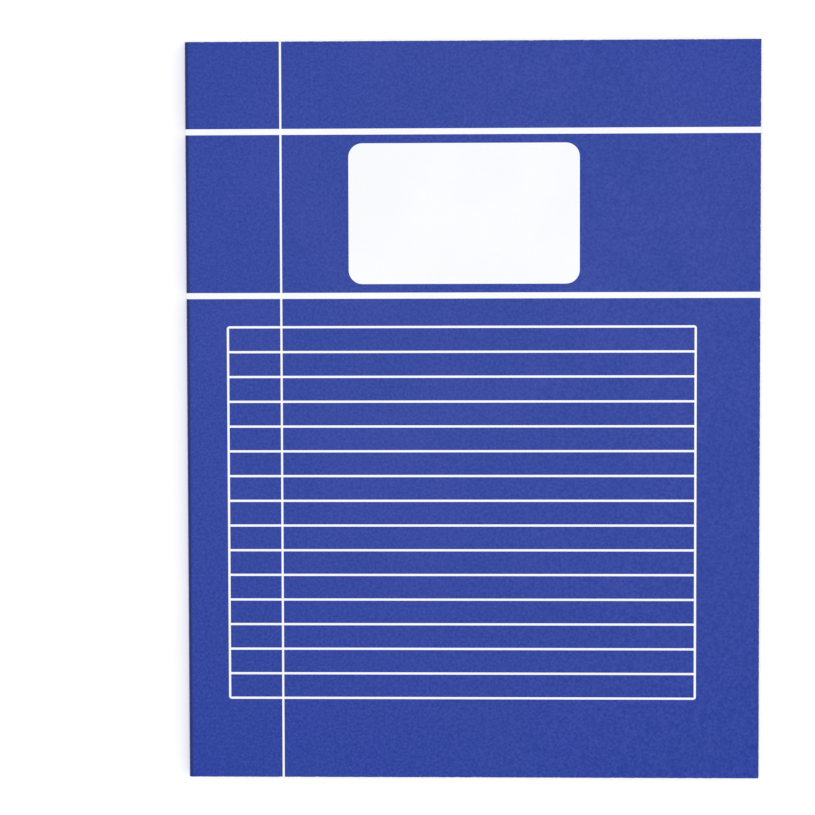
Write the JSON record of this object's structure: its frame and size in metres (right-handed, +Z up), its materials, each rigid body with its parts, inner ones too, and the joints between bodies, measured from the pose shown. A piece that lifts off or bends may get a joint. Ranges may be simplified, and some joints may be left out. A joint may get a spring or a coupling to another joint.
{
  "type": "composition notebook",
  "caption": "Flat composition notebook with a folded card cover, ruled pages stapled through the fold, and printed rules, a ruled box and a blank name panel on its front.",
  "frame": {"origin": "middle of the underside, as the closed notebook lies on its back cover", "axes": "+X from the fold to the fore edge, +Y from the foot to the head of the cover, +Z up out of the front cover"},
  "size_m": [0.1924, 0.2476, 0.0053],
  "materials": {
    "cover_card": "satin coated print",
    "white_print": "satin coated print",
    "page_paper": "uncoated",
    "staple_wire": "drawn wire"
  },
  "bodies": {
    "pages": {"page_block": "page_paper", "cover_fold": "cover_card", "fold_print": "white_print", "staple_upper": "staple_wire", "staple_lower": "staple_wire"},
    "front_cover": {"front_cover": "cover_card", "front_print": "white_print"},
    "back_cover": {"back_cover": "cover_card", "back_print": "white_print"}
  },
  "joints": [
    {"name": "front_cover_hinge", "type": "hinge", "parent": "pages", "child": "front_cover", "pos_m": [-0.09605, 0, 0.00429], "axis": [0, -1, 0], "range_deg": [0, 179.5]},
    {"name": "back_cover_hinge", "type": "hinge", "parent": "pages", "child": "back_cover", "pos_m": [-0.09605, 0, 0.00103], "axis": [0, 1, 0], "range_deg": [0, 179.5]}
  ]
}
